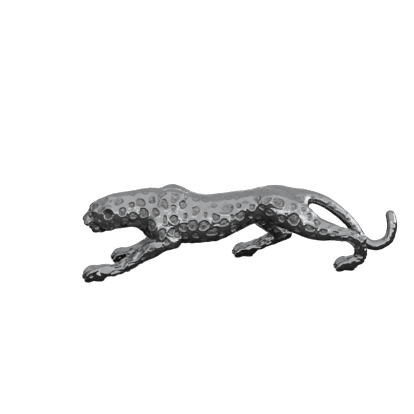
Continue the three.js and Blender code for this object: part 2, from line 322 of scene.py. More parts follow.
lump((92.4, -12.9, 19.6), (2.2, 2.3, 3.4), 1.4, 0.3)           # hocks
lump((46.0, 14.4, 13.4), (2.6, 2.6, 3.4), 1.4, -0.2)
lump((-70.6, -14.6, 3.4), (2.4, 3.0, 2.4), 1.0)                # wrist pads
lump((-62.0, -16.2, 6.0), (1.8, 1.5, 1.6), 0.9)
limb(body["tail"], 1.6)

# head
lump((-73.6, 0, 41.0), (9.8, 9.2, 9.3), 2.0)                   # skull
lump((-79.4, 0, 41.0), (5.6, 7.4, 7.4), 2.0)                   # forehead
limb([[-80, 0, 43.2, 4.8, 4.2], [-84.2, 0, 39.9, 3.3, 2.9], [-87.8, 0, 37.0, 2.5, 1.9]], 1.4, 1.2)
bothSides((-82.6, 4.0, 44.1), (2.7, 2.7, 1.4), 1.2, -0.5)      # brows
bothSides((-86.2, 2.4, 34.9), (3.2, 2.7, 2.8), 0.7)            # whisker pads
lump((-88.8, 0, 37.1), (1.1, 2.0, 0.9), 0.3)                   # nose leather
lump((-88.9, 0, 36.2), (1.0, 0.9, 1.1), 0.3)
bothSides((-79.0, 5.6, 36.8), (4.6, 2.6, 3.4), 1.8)            # cheekbones
lump((-78.4, 0, 29.5), (5.2, 4.3, 3.0), 1.6)                   # lower jaw
lump((-81.6, 0, 28.6), (2.7, 2.9, 2.5), 0.9)                   # chin
lump((-83.6, 0, 30.7), (2.3, 2.9, 1.5), 0.6)                   # lower lip
lump((-82.6, 0, 33.6), (4.4, 4.4, 3.0), 0.6)                   # closed mouth behind the lips
bothSides((-73.8, 5.2, 34.8), (5.8, 3.8, 5.2), 2.4)            # jaw muscles
for side in (-1, 1):
    limb([[-88.4, 0.2 * side, 32.7, 0.4, 0.5], [-86.6, 2.6 * side, 32.1, 0.45, 0.55],
          [-84.0, 4.6 * side, 32.0, 0.45, 0.55], [-80.8, 6.0 * side, 33.0, 0.35, 0.4]],
         0.4, 1.0, carve=True)                                  # mouth
    lump((-89.8, 1.25 * side, 36.9), (0.7, 0.5, 0.4), 0.2, carve=True)       # nostrils
    lump((-84.4, 5.3 * side, 41.7), (2.3, 2.5, 1.6), 0.6, -0.2, carve=True)  # eye sockets
    lump((-82.7, 4.2 * side, 41.6), (1.9, 1.9, 1.7), 0.2)                    # eyes
    limb([[-85.9, 2.9 * side, 41.2, 0.4, 0.4], [-84.9, 4.9 * side, 43.2, 0.55, 0.5],
          [-82.3, 6.5 * side, 42.5, 0.4, 0.4]], 0.3, 1.0)       # upper lids
    limb([[-85.9, 2.9 * side, 40.9, 0.35, 0.35], [-85.0, 4.9 * side, 40.0, 0.45, 0.4],
          [-82.3, 6.4 * side, 41.4, 0.35, 0.35]], 0.3, 1.0)     # lower lids
    limb([[-86.3, 2.6 * side, 40.4, 0.35, 0.35], [-86.3, 4.1 * side, 37.4, 0.3, 0.3]],
         0.4, 1.0, carve=True)                                  # tear lines
    for row in range(3):
        limb([[-88.9, 2.6 * side, 36.2 - row, 0.22, 0.22], [-86.6, 4.7 * side, 36.1 - row, 0.26, 0.26],
              [-84.6, 5.2 * side, 36.0 - row, 0.22, 0.22]], 0.3, 1.0, carve=True)   # whisker rows
    lump((-73.4, 7.6 * side, 43.6), (4.1, 2.4, 4.6), 0.9, -0.25)             # ears
    lump((-73.9, 9.9 * side, 43.4), (3.1, 2.4, 3.7), 0.4, -0.25, carve=True)
    lump((-72.9, 7.9 * side, 39.9), (1.5, 1.1, 1.2), 0.6)
limb([[-89.7, 0, 35.4, 0.3, 0.35], [-89.0, 0, 33.0, 0.3, 0.35]], 0.3, 1.0, carve=True)  # lip cleft

# folds: in front of and behind the near shoulder, and where the flank meets the thigh
limb([[-38.5, -12.6, 53.0, 0.5, 0.6], [-39.0, -14.0, 46.5, 0.6, 0.8],
      [-40.6, -15.8, 40.0, 0.5, 0.6]], 1.0, 1.5, carve=True)
for side in (-1, 1):
    limb([[18.6, 10.2 * side, 51.6, 2.4, 2.4], [21.8, 13.4 * side, 47.2, 3.3, 3.3],
          [23.4, 14.7 * side, 42.6, 3.4, 3.4], [20.2, 14.6 * side, 38.6, 2.6, 2.6],
          [15.0, 14.0 * side, 36.2, 1.6, 1.6]], 3.0, 1.5, carve=True)
limb([[-27.2, -15.6, 37.5, 0.6, 0.6], [-26.6, -16.8, 31.0, 0.8, 0.8],
      [-25.6, -17.0, 24.0, 0.8, 0.8]], 1.2, 1.5, carve=True)

# flat soles
below = (sole - axes[2])[None, None, :].astype(np.float32)
field = np.maximum(field, below)
print("casting field", field.shape)


def skinOf(values):
    # surface nets: a point in each cell that the surface crosses, and a quad round each crossed edge
    inside = values < 0
    count = sum(inside[a:counts[0] - 1 + a, b:counts[1] - 1 + b, c:counts[2] - 1 + c].astype(np.int8)
                for a in (0, 1) for b in (0, 1) for c in (0, 1))
    cells = np.argwhere((count > 0) & (count < 8))
    index = np.full(counts - 1, -1, np.int32)
    index[tuple(cells.T)] = np.arange(len(cells))
    total = np.zeros((len(cells), 3))
    hits = np.zeros(len(cells))
    corners = [(a, b, c) for a in (0, 1) for b in (0, 1) for c in (0, 1)]
    for p in corners:
        for axis in range(3):
            if p[axis]:
                continue
            q = list(p)
            q[axis] = 1
            first = values[tuple((cells + p).T)]
            second = values[tuple((cells + q).T)]
            crossed = (first < 0) != (second < 0)
            t = np.where(crossed, first / np.where(crossed, first - second, 1), 0)
            place = np.array(p) + t[:, None] * np.eye(3)[axis]
            total += place * crossed[:, None]
            hits += crossed
    places = cells + total / hits[:, None]
    points = np.stack([np.interp(places[:, i], np.arange(counts[i]), axes[i]) for i in range(3)], 1)
    quads = []
    for axis in range(3):
        one, two = (axis + 1) % 3, (axis + 2) % 3
        shifted = np.roll(inside, -1, axis)
        change = inside != shifted
        change[tuple(slice(-1, None) if i == axis else slice(None) for i in range(3))] = False
        edges = np.argwhere(change)
        edges = edges[(edges[:, one] > 0) & (edges[:, two] > 0)]
        outward = inside[tuple(edges.T)]
        ring = []
        for da, db in ((1, 1), (0, 1), (0, 0), (1, 0)):
            at = edges.copy()
            at[:, one] -= da
            at[:, two] -= db
            ring.append(index[tuple(at.T)])
        ring = np.stack(ring, 1)
        ring[~outward] = ring[~outward][:, ::-1]
        quads.append(ring)
    return points, np.vstack(quads)


points, quads = skinOf(field)
print("skin", len(points), "points", len(quads), "quads")


def normalsOf(points, quads):
    diagonalOne = points[quads[:, 2]] - points[quads[:, 0]]
    diagonalTwo = points[quads[:, 3]] - points[quads[:, 1]]
    facing = np.cross(diagonalOne, diagonalTwo)
    out = np.zeros_like(points)
    for corner in range(4):
        np.add.at(out, quads[:, corner], facing)
    return out / np.maximum(np.linalg.norm(out, axis=1), 1e-9)[:, None]


def averageOf(values, rounds=1):
    # each point's mean with its neighbours along the quads' edges
    pairs = np.vstack([quads[:, [i, (i + 1) % 4]] for i in range(4)])
    for _ in range(rounds):
        total = values.copy()
        weight = np.ones(len(values))
        np.add.at(total, pairs[:, 0], values[pairs[:, 1]])
        np.add.at(weight, pairs[:, 0], 1)
        values = total / (weight[:, None] if values.ndim > 1 else weight)
    return values


points = averageOf(points, cast["smoothing"])
normals = averageOf(normalsOf(points, quads), 3)
normals /= np.linalg.norm(normals, axis=1)[:, None]
rise = np.zeros(len(points))       # how far each point moves along its normal, mm
pitted = np.zeros(len(points))     # 1 on the rough floor of a spot
wallTarnishAndShade = np.zeros(len(points))      # 1 along the wall of a spot: tarnish where the buff doesn't reach, and painted shade
free = np.clip((points[:, 2] - sole - 0.6) / 1.6, 0, 1)     # nothing moves at the flat soles


def waves(at, length, seed):
    # smooth seeded ripples about length mm long, between about -1 and 1
    draw = np.random.default_rng(seed)
    total = np.zeros(len(at))
    for _ in range(7):
        heading = draw.normal(size=3)
        heading *= 2 * math.pi / length / np.linalg.norm(heading) * draw.uniform(0.7, 1.4)
        total += np.sin(at @ heading + draw.uniform(0, 6.28))
    return total / 3.2


# the modeller's hand in the wax: ripples as (length, height) in mm, rougher on some parts
ripples = {"swell": (15, 0.15), "ripple": (6, 0.035), "rough": (3.6, 0.10),
           "pawReach": 26, "curlFrom": 84, "cheekBefore": -62, "cheekBelow": 41}
rise += ripples["swell"][1] * waves(points, ripples["swell"][0], 5)
rise += ripples["ripple"][1] * waves(points, ripples["ripple"][0], 6)
pawCentres = np.array([[leg["paw"][0], leg["paw"][1], sole + 3] for leg in legs.values()])
fromPaw = np.linalg.norm(points[:, None, :] - pawCentres, axis=2).min(1)
onPaw = np.clip((ripples["pawReach"] - fromPaw) / 8, 0, 1)
onCurl = np.clip((points[:, 0] - ripples["curlFrom"]) / 8, 0, 0.7)
onCheek = (np.clip((ripples["cheekBefore"] - points[:, 0]) / 5, 0, 0.8)
           * np.clip((sole + ripples["cheekBelow"] - points[:, 2]) / 3, 0, 1))
roughened = np.maximum(np.maximum(onPaw, onCurl), onCheek)
rise += ripples["rough"][1] * waves(points, ripples["rough"][0], 8) * roughened * free

# cords and tendons along the lower legs: how many go round, and how high they stand in mm
cords = {"broad": 4, "height": 0.26, "fine": 9, "fineHeight": 0.20}
for path, frames in shins:
    gap = points[:, None, :] - path[None, :, :3]
    nearest = (gap**2).sum(2).argmin(1)
    offset = points - path[nearest, :3]
    away = np.linalg.norm(offset, axis=1)
    own = np.clip(1.6 - away / path[nearest, 3:5].mean(1), 0, 0.5) * 2
    own *= np.clip((nearest - 1) / 3, 0, 1) * np.clip((len(path) - 1 - nearest) / 3, 0, 1)
    across = (offset * frames[nearest, 0]).sum(1)
    raised = (offset * frames[nearest, 1]).sum(1)
    bearing = np.arctan2(raised, across)
    broad = np.cos(cords["broad"] * bearing + 2.0 * waves(points, 16, 11))
    fine = np.cos(cords["fine"] * bearing + 3.4 * waves(points, 11, 12))
    rise += own * free * (cords["height"] * np.abs(broad) ** 0.7 * np.sign(broad)
                          + cords["fineHeight"] * (np.abs(fine) ** 0.6 * np.sign(fine)))


# the spots are shallow pits with a raised lip and a domed floor
spot = {
    "wall": 0.62,           # mm across the wall at any size
    "lip": 0.35,            # height of the lip and
    "dome": 0.5,            # of the floor's middle, as shares of the depth
    "wornTo": 0.16,         # share of the depth left along the top of the back
    "handDepth": 0.62,      # mm, for the ones listed
}


def spotOutline(angle, shape):
    # an uneven rounded polygon, 1 at its mean edge
    out = np.ones_like(angle)
    for k, (size, phase) in enumerate(shape, start=2):
        out += size * np.cos(k * angle + phase)
    return out


def pressSpot(centre, facing, width, height, lean, depth, shape):
    # width lies along the body, height across it; lean turns the spot in its own plane
    lengthwise = np.array((1.0, 0, 0)) - facing * facing[0]
    lengthwise /= np.linalg.norm(lengthwise)
    upright = np.cross(facing, lengthwise)
    near = np.where(((points - centre) ** 2).sum(1) < (0.8 * max(width, height)) ** 2)[0]
    near = near[normals[near] @ facing > 0.15]
    offset = points[near] - centre
    u, v = offset @ lengthwise, offset @ upright
    long = (u * math.cos(lean) + v * math.sin(lean)) / (width / 2)
    high = (v * math.cos(lean) - u * math.sin(lean)) / (height / 2)
    place = np.hypot(long, high) / spotOutline(np.arctan2(high, long), shape)
    wall = spot["wall"] / ((width + height) / 4)             # as a share of the mean radius
    floor = np.clip((1 - place) / wall, 0, 1)
    floor = floor * floor * (3 - 2 * floor)
    lip = np.exp(-((place - 1 - 0.7 * wall) / (0.8 * wall)) ** 2)
    dome = spot["dome"] * np.clip(1 - place / 0.8, 0, 1)
    kept = np.clip(2.5 - 2.5 * normals[near, 2], spot["wornTo"], 1)
    rise[near] += depth * kept * (spot["lip"] * lip - floor * (1 - dome)) * free[near]
    pitted[near] = np.maximum(pitted[near], floor * free[near] * kept)
    # painted shade with tarnish: a dark line along each spot's wall, fainter along the top of the back
    line = np.exp(-((place - 1 + 0.45 * wall) / (0.42 * wall)) ** 2) * (0.3 + 0.7 * kept)
    wallTarnishAndShade[near] = np.maximum(wallTarnishAndShade[near], line * free[near])


def randomShape():
    # how far the outline swings in and out two, three and four times round, and where it starts
    swings = ((0.03, 0.13), (0.03, 0.12), (0, 0.07))
    return [(rng.uniform(*swing), rng.uniform(0, 2 * math.pi)) for swing in swings]


# near flank, listed one by one: x, height, width, height of the spot, lean in degrees
flankSpots = [
    (-17.2, 45.3, 5.4, 6, 0), (-11, 43.2, 2.8, 4, 0), (-5, 47.4, 4, 3.4, 0), (2.8, 45.4, 9, 7.2, 35),
    (10.7, 47.2, 3.6, 3.6, 0), (-4.4, 41, 5.2, 5.6, 0), (0.9, 37.4, 6.4, 4.6, 10), (12, 41, 6.4, 6, 0),
    (6.6, 40.6, 3, 3, 0), (-19.3, 36.7, 6, 7, 0), (-12.2, 36.3, 6.6, 6.8, 0), (-6.5, 31.6, 8, 6, 25),
    (0, 29.8, 4.4, 4, 30), (7.7, 32.9, 6.6, 4.8, 15), (-25.5, 35.4, 5.2, 5.6, 0), (-23.9, 28.8, 5, 5, 0),
    (-17.6, 29.2, 5, 4.6, -40), (-12, 25.2, 5, 3.4, 0), (-23.9, 42.3, 3, 3.8, 0),
    (-25.4, 49.0, 5.4, 5.2, 0), (-30.6, 54.0, 6.4, 6.4, 30), (-31.5, 40.6, 5.8, 6.2, 0),
    (-33.2, 33.2, 4.4, 4.6, 0), (-37.5, 50.8, 5.2, 6.4, 0), (-37.4, 41.4, 3, 5.8, -10),
    (-39.3, 32.6, 4.8, 7, 0), (-43.5, 45.6, 4.6, 6.4, 20), (-45.3, 52.4, 4.8, 4.6, 0),
    (-46.0, 37.6, 5.8, 7.2, 10), (-50.6, 44.8, 5.2, 6.6, 25), (-52.8, 51.0, 6.6, 5.6, 0),
    (-58.5, 49.6, 4, 4, 0), (-57.4, 43.0, 4.8, 4, 20), (-64.5, 45.4, 5, 5.8, 0),
    (36.6, 49.6, 7.4, 6.2, -25), (45.9, 38.8, 8.4, 7, -30), (46.4, 46.8, 5, 4.2, -20),
    (19.4, 46.2, 4.6, 4.4, 0),
    (30.5, 42.8, 6, 4.6, -30), (24.0, 38.6, 4, 3.6, 0), (38.4, 39.6, 5.6, 4.4, -35),
    (56.5, 32.2, 6, 4, -30), (56.8, 40.0, 3.6, 3.4, 0), (65.6, 29.4, 5.2, 3.4, -20),
    (30, 34.4, 4.6, 3.6, -20), (53.0, 44.4, 3.8, 3.4, 0), (20.5, 36.2, 3.6, 3.0, 20),
    (48.4, 31.2, 4.6, 3.4, -30), (-29.4, 30.4, 5.8, 4.8, -40),
]
searching = BVHTree.FromPolygons(points.tolist(), quads.tolist())
taken = []                                   # centre and radius of every spot so far
for x, height, wide, tall, lean in flankSpots:
    hit = searching.ray_cast(Vector((x, -40, height)), Vector((0, 1, 0)))[0]
    if hit is not None:
        centre = np.array(hit)
        facing = normals[np.argmin(((points - centre) ** 2).sum(1))]
        pressSpot(centre, facing, wide, tall, math.radians(lean), spot["handDepth"], randomShape())
        taken.append((centre, (wide + tall) / 4))

# everywhere else, thrown at random and kept where they clear their neighbours; all in mm
region = {
    "torso": {"size": (4.0, 7.0), "depth": 0.55, "gap": 0.9, "stretch": (0.85, 1.2)},
    "head": {"size": (2.0, 3.0), "depth": 0.26, "gap": 0.7, "stretch": (0.9, 1.1)},
    "leg": {"size": (2.8, 4.0), "depth": 0.34, "gap": 1.6, "stretch": (1.15, 1.5)},
    "tail": {"size": (2.4, 3.4), "depth": 0.22, "gap": 1.6, "stretch": (0.9, 1.2)},
}
tries = 16000
eyeAndEar = (((-83.5, 4.8, 43.0), 5), ((-73.8, 8.5, 44.6), 6))     # centre, and how far spots stay off


def regionAt(p):
    if min(np.linalg.norm(pawCentres - p, axis=1)) < 10:
        return None
    if p[0] < -68:
        return "head" if p[0] > -84 and p[2] > sole + 33.5 else None
    if p[0] > 56 and abs(p[1]) < 6 and p[2] > 8:
        return "tail" if p[0] < 88 else None
    if p[2] < 24 and (abs(p[1]) > 8.5 or p[0] > 60):
        return "leg"
    return "torso" if p[0] < 62 else "leg"


order = rng.permutation(len(points))[:tries]
for i in order:
    kind = regionAt(points[i])
    if kind is None or free[i] < 1:
        continue
    rule = region[kind]
    size = rng.uniform(*rule["size"])
    mirrored = points[i] * [1, np.sign(points[i][1]), 1]
    if any(np.linalg.norm(mirrored - place) < keptOff for place, keptOff in eyeAndEar):
        continue
    clear = all(np.linalg.norm(points[i] - c) > (size / 2 + r + rule["gap"]) for c, r in taken)
    if not clear:
        continue
    stretch = rng.uniform(*rule["stretch"])
    pressSpot(points[i], normals[i], size * stretch, size / stretch, rng.uniform(-0.6, 0.6),
              rule["depth"], randomShape())
    taken.append((points[i].copy(), size / 2))
print("spots", len(taken))

points = points + normals * rise[:, None]
casting = pieceFrom("leopard", points, quads.tolist())

# hollows hold tarnish and painted shade, darker the deeper they are: compare each point with the mean of its
# neighbourhood
inward = ((averageOf(points, 4) - points) * normalsOf(points, quads)).sum(1)
hollow = np.clip(inward / 0.30, 0, 1)
for side in (-1, 1):
    bowl = np.linalg.norm((points - [-73.6, 9.0 * side, 43.0 + sole]) / [3.0, 2.6, 4.2], axis=1)
    hollow = np.maximum(hollow, np.clip(2.6 - 2.2 * bowl, 0, 1))      # the ears inside, tarnish and painted shade in their bowls
# this colour attribute carries painted shade with tarnish: green darkens the hollows and ear bowls, blue the
# walls of the spots; red marks the rough spot floors
tone = casting.data.color_attributes.new("finishAndPaintedShade", "FLOAT_COLOR", "POINT")
tone.data.foreach_set("color", np.stack(
    [pitted, hollow, wallTarnishAndShade, np.ones(len(points))], 1).ravel())
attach(casting, "ornament")
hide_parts("leopard_casting")
print("casting made")


# fixings under each paw, M4, in mm
fixing = {
    "pitch": 0.7, "threadDepth": 0.40, "boreGap": 0.08,
    "washerGap": 0.3,                                      # between the stud and a washer's hole
    "studChamfer": 0.55, "nutChamfer": 30,                 # the second in degrees
    "flatEdge": 0.10, "rubberEdge": 0.34, "springEdge": 0.16,
    "splitHalf": 0.16,                                     # radians either side of the cut
    "coil": 0.1,                                           # how far apart in height the cut ends are
    "gasketInset": 0.7,                                    # inside the edge of the sole
    "sides": 60, "studSides": 28, "nutSides": 72, "ringsPerPitch": 6,
    "sharpAbove": 40,                                      # degrees between faces
}


def boxInMm(node):
    # middle, lowest and highest corner
    lowest, highest = (np.array(v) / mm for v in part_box(node))
    return (lowest + highest) / 2, lowest, highest


def ringsToFaces(ringCount, sides, closed=True):
    # quads between neighbouring rings of points; closed joins the last ring to the first
    faces = []
    for i in range(ringCount if closed else ringCount - 1):
        for j in range(sides):
            a, b = i * sides + j, i * sides + (j + 1) % sides
            c, d = (i + 1) % ringCount * sides + (j + 1) % sides, (i + 1) % ringCount * sides + j
            faces.append((a, b, c, d))
    return faces


def around(centre, radius, angle, z):
    return (centre[0] + radius * math.cos(angle), centre[1] + radius * math.sin(angle), z)


def roundedSection(inner, outer, bottom, top, edge):
    # a ring's section as (radius, height), with quarter rounds of radius edge
    corners = [(inner + edge, top - edge, 90), (outer - edge, top - edge, 0),
               (outer - edge, bottom + edge, -90), (inner + edge, bottom + edge, -180)]
    out = []
    for r, z, start in corners:
        for k in range(4):
            bend = math.radians(start + 90 - 30 * k)
            out.append((r + edge * math.cos(bend), z + edge * math.sin(bend)))
    return out


def washer(name, node, bore, edge):
    centre, lowest, highest = boxInMm(node)
    profile = roundedSection(bore, (highest[0] - lowest[0]) / 2, lowest[2], highest[2], edge)
    angles = [2 * math.pi * k / fixing["sides"] for k in range(fixing["sides"])]
    made = [around(centre, r, t, z) for r, z in profile for t in angles]
    return pieceFrom(name, made, ringsToFaces(len(profile), len(angles)))


def springWasher(name, node, bore):
    # a coiled wire of nearly square section, cut through, its two ends a hair apart in height
    centre, lowest, highest = boxInMm(node)
    coil = fixing["coil"]
    profile = roundedSection(bore, (highest[0] - lowest[0]) / 2, lowest[2] + coil / 2,
                             highest[2] - coil / 2, fixing["springEdge"])
    steps, count = fixing["sides"], len(profile)
    made = []
    for k in range(steps + 1):
        share = k / steps
        angle = fixing["splitHalf"] + (2 * math.pi - 2 * fixing["splitHalf"]) * share
        made += [around(centre, r, angle, z + coil * (share - 0.5)) for r, z in profile]
    faces = [tuple(reversed(face)) for face in ringsToFaces(steps + 1, count, closed=False)]
    faces.append(tuple(range(count)))
    faces.append(tuple(reversed(range(steps * count, (steps + 1) * count))))
    return pieceFrom(name, made, faces)


def threadShare(angle, z):
    # 0 in the root of the thread, 1 on its crest, for a right-hand thread
    phase = (z / fixing["pitch"] - angle / (2 * math.pi)) % 1
    return min(1, max(0, abs(2 * phase - 1) * 1.3 - 0.15))


def stud(name, node):
    centre, lowest, highest = boxInMm(node)
    major = (highest[0] - lowest[0]) / 2
    bottom, top = lowest[2], highest[2]
    sides = fixing["studSides"]
    rings = int((top - bottom) / fixing["pitch"] * fixing["ringsPerPitch"])
    made = []
    for i in range(rings + 1):
        z = bottom + (top - bottom) * i / rings
        tip = major - fixing["studChamfer"] + min(z - bottom, top - z)
        for j in range(sides):
            angle = 2 * math.pi * j / sides
            radius = min(major - fixing["threadDepth"] * (1 - threadShare(angle, z)), tip)
            made.append(around(centre, radius, angle, z))
    faces = ringsToFaces(rings + 1, sides, closed=False)
    ends = [tuple(reversed(range(sides))), tuple(range(rings * sides, (rings + 1) * sides))]
    return pieceFrom(name, made, faces + ends)


def nut(name, node, studRadius):
    centre, lowest, highest = boxInMm(node)
    apothem = min(highest[0] - lowest[0], highest[1] - lowest[1]) / 2
    alongY = highest[1] - lowest[1] > highest[0] - lowest[0]    # which way the corners point
    bottom, top = lowest[2], highest[2]
    bore, mouth = studRadius + fixing["boreGap"], studRadius + 0.45
    countersink = 0.4                                        # height of the bevel into the thread
    threadHeight = 0.22                                      # the part of the thread that shows
    face = apothem * 0.96                                    # radius of the flat end faces
    slope = math.tan(math.radians(fixing["nutChamfer"]))
    sides = fixing["nutSides"]
    angles = [2 * math.pi * (j + 0.5) / sides for j in range(sides)]
    made = []

    def outerAt(angle):
        swing = (angle + (0 if alongY else math.pi / 6)) % (math.pi / 3) - math.pi / 6
        return apothem / math.cos(swing)

    def addRing(radiusAt, heightAt):
        made.extend(around(centre, radiusAt(angle), angle, heightAt(angle)) for angle in angles)

    addRing(lambda t: mouth, lambda t: bottom)
    addRing(lambda t: face, lambda t: bottom)
    addRing(outerAt, lambda t: bottom + (outerAt(t) - face) * slope)
    addRing(outerAt, lambda t: top - (outerAt(t) - face) * slope)
    addRing(lambda t: face, lambda t: top)
    addRing(lambda t: mouth, lambda t: top)
    threaded = top - bottom - 2 * countersink
    steps = int(threaded / fixing["pitch"] * fixing["ringsPerPitch"])
    for i in range(steps + 1):
        z = top - countersink - threaded * i / steps
        addRing(lambda t, z=z: bore + threadHeight * (1 - threadShare(t, z)), lambda t, z=z: z)
    return pieceFrom(name, made, ringsToFaces(len(made) // sides, sides))


def gasket(name, node, bore):
    # follows the outline of the sole above it, a little inside its edge
    centre, lowest, highest = boxInMm(node)
    soft = fixing["rubberEdge"]
    room = (highest - lowest)[:2] / 2 + 0.8                  # the sole's own points, not its neighbour's
    offset = points[:, :2] - centre[:2]
    away = np.hypot(offset[:, 0], offset[:, 1])
    near = (points[:, 2] < sole + 1.6) & (np.abs(points[:, :2] - centre[:2]) < room).all(1)
    bearing = np.arctan2(offset[near, 1], offset[near, 0])
    sides = fixing["sides"]
    angles = 2 * np.pi * np.arange(sides) / sides
    reach = np.array([away[near][np.cos(bearing - t) > math.cos(0.2)].max() for t in angles])
    for _ in range(3):
        reach = (np.roll(reach, 1) + 2 * reach + np.roll(reach, -1)) / 4
    reach -= fixing["gasketInset"]
    rings = [(None, lowest[2], soft), (None, lowest[2] + soft, 0), (None, highest[2] - soft, 0),
             (None, highest[2], soft), (bore, highest[2], 0), (bore, lowest[2], 0)]
    made = [around(centre, radius or r - inset, t, z)
            for radius, z, inset in rings for r, t in zip(reach, angles)]
    return pieceFrom(name, made, ringsToFaces(len(rings), sides))


metalPieces, rubberPieces = [], []
for corner in ("front_left", "front_right", "rear_left", "rear_right"):
    word = "".join(part.capitalize() for part in corner.split("_"))
    _, lowest, highest = boxInMm(f"{corner}_stud")
    studRadius = (highest[0] - lowest[0]) / 2
    bore = studRadius + fixing["washerGap"]
    parts = [
        (stud(f"stud{word}", f"{corner}_stud"), "stud", "ornament", metalPieces),
        (gasket(f"gasket{word}", f"{corner}_paw_gasket", bore), "paw_gasket", "ornament", rubberPieces),
        (washer(f"sealingWasher{word}", f"{corner}_sealing_washer", bore, fixing["rubberEdge"]),
         "sealing_washer", f"{corner}_washers", rubberPieces),
        (washer(f"flatWasher{word}", f"{corner}_flat_washer", bore, fixing["flatEdge"]),
         "flat_washer", f"{corner}_washers", metalPieces),
        (springWasher(f"springWasher{word}", f"{corner}_spring_washer", bore),
         "spring_washer", f"{corner}_washers", metalPieces),
        (nut(f"nut{word}", f"{corner}_nut", studRadius), "nut", f"{corner}_nut", metalPieces),
    ]
    for piece, node, bodyName, group in parts:
        piece.data.set_sharp_from_angle(angle=math.radians(fixing["sharpAbove"]))
        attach(piece, bodyName)
        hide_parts(f"{corner}_{node}")
        group.append(piece)
print("fixings made")


def perSize(size):
    # a pattern's scale from the size in mm that it repeats over
    return 1 / (size * mm)


def zincPlate():
    # turned and rolled steel, bright zinc plated: bluish silver, with a soft cloudy spangle
    # and the fine lines of the tool under it
    made = newMaterial("brightZincPlatedSteel")
    tree = made.node_tree
    where = addNode(tree, "ShaderNodeTexCoord")
    # plating clouds about 1.5 mm across
    cloud = addNode(tree, "ShaderNodeTexNoise",
                    {"Scale": perSize(1.5385), "Detail": 3.0, "Roughness": 0.55},
                    {"Vector": where.outputs["Object"]})
    # tool lines 0.12 mm apart, drawn twice as coarse as they are so that they show; a wave of
    # scale 1 repeats every pi / 10
    lines = addNode(tree, "ShaderNodeTexWave", {"wave_type": "BANDS", "bands_direction": "Z",
                                                "Scale": perSize(0.24166 * 10 / math.pi),
                                                "Distortion": 1.2, "Detail": 2.0},
                    {"Vector": where.outputs["Object"]})
    colour = addNode(tree, "ShaderNodeMix", {"data_type": "RGBA", "A": linearOf("c9ced4"),
                                             "B": linearOf("a7adb5")},
                     {"Factor": cloud.outputs["Fac"]})
    rough = addNode(tree, "ShaderNodeMapRange", {"To Min": 0.22, "To Max": 0.42},
                    {"Value": cloud.outputs["Fac"]})
    bump = addNode(tree, "ShaderNodeBump", {"Strength": 0.12, "Distance": 0.0001},
                   {"Height": lines.outputs["Fac"]})
    shader = addNode(tree, "ShaderNodeBsdfPrincipled", {"Metallic": 1.0},
                     {"Base Color": colour.outputs["Result"], "Roughness": rough.outputs["Result"],
                      "Normal": bump.outputs["Normal"]})
    addNode(tree, "ShaderNodeOutputMaterial", links={"Surface": shader.outputs["BSDF"]})
    return made


def blackRubber():
    # compression-moulded EPDM: matt near-black with a fine mould grain and a dusting of bloom
    made = newMaterial("mouldedEpdmRubber")
    tree = made.node_tree
    where = addNode(tree, "ShaderNodeTexCoord")
    # bloom patches about 3 mm across, grain 0.25 mm drawn at 0.4 mm
    bloom = addNode(tree, "ShaderNodeTexNoise", {"Scale": perSize(3.03), "Detail": 4.0, "Roughness": 0.6},
                    {"Vector": where.outputs["Object"]})
    grain = addNode(tree, "ShaderNodeTexVoronoi", {"Scale": perSize(0.41667)},
                    {"Vector": where.outputs["Object"]})
    colour = addNode(tree, "ShaderNodeMix", {"data_type": "RGBA", "A": linearOf("131313"),
                                             "B": linearOf("262627")},
                     {"Factor": bloom.outputs["Fac"]})
    rough = addNode(tree, "ShaderNodeMapRange", {"To Min": 0.62, "To Max": 0.88},
                    {"Value": bloom.outputs["Fac"]})
    bump = addNode(tree, "ShaderNodeBump", {"Strength": 0.35, "Distance": 0.0001},
                   {"Height": grain.outputs["Distance"]})
    shader = addNode(tree, "ShaderNodeBsdfPrincipled", {"Specular IOR Level": 0.4},
                     {"Base Color": colour.outputs["Result"], "Roughness": rough.outputs["Result"],
                      "Normal": bump.outputs["Normal"]})
    addNode(tree, "ShaderNodeOutputMaterial", links={"Surface": shader.outputs["BSDF"]})
    return made


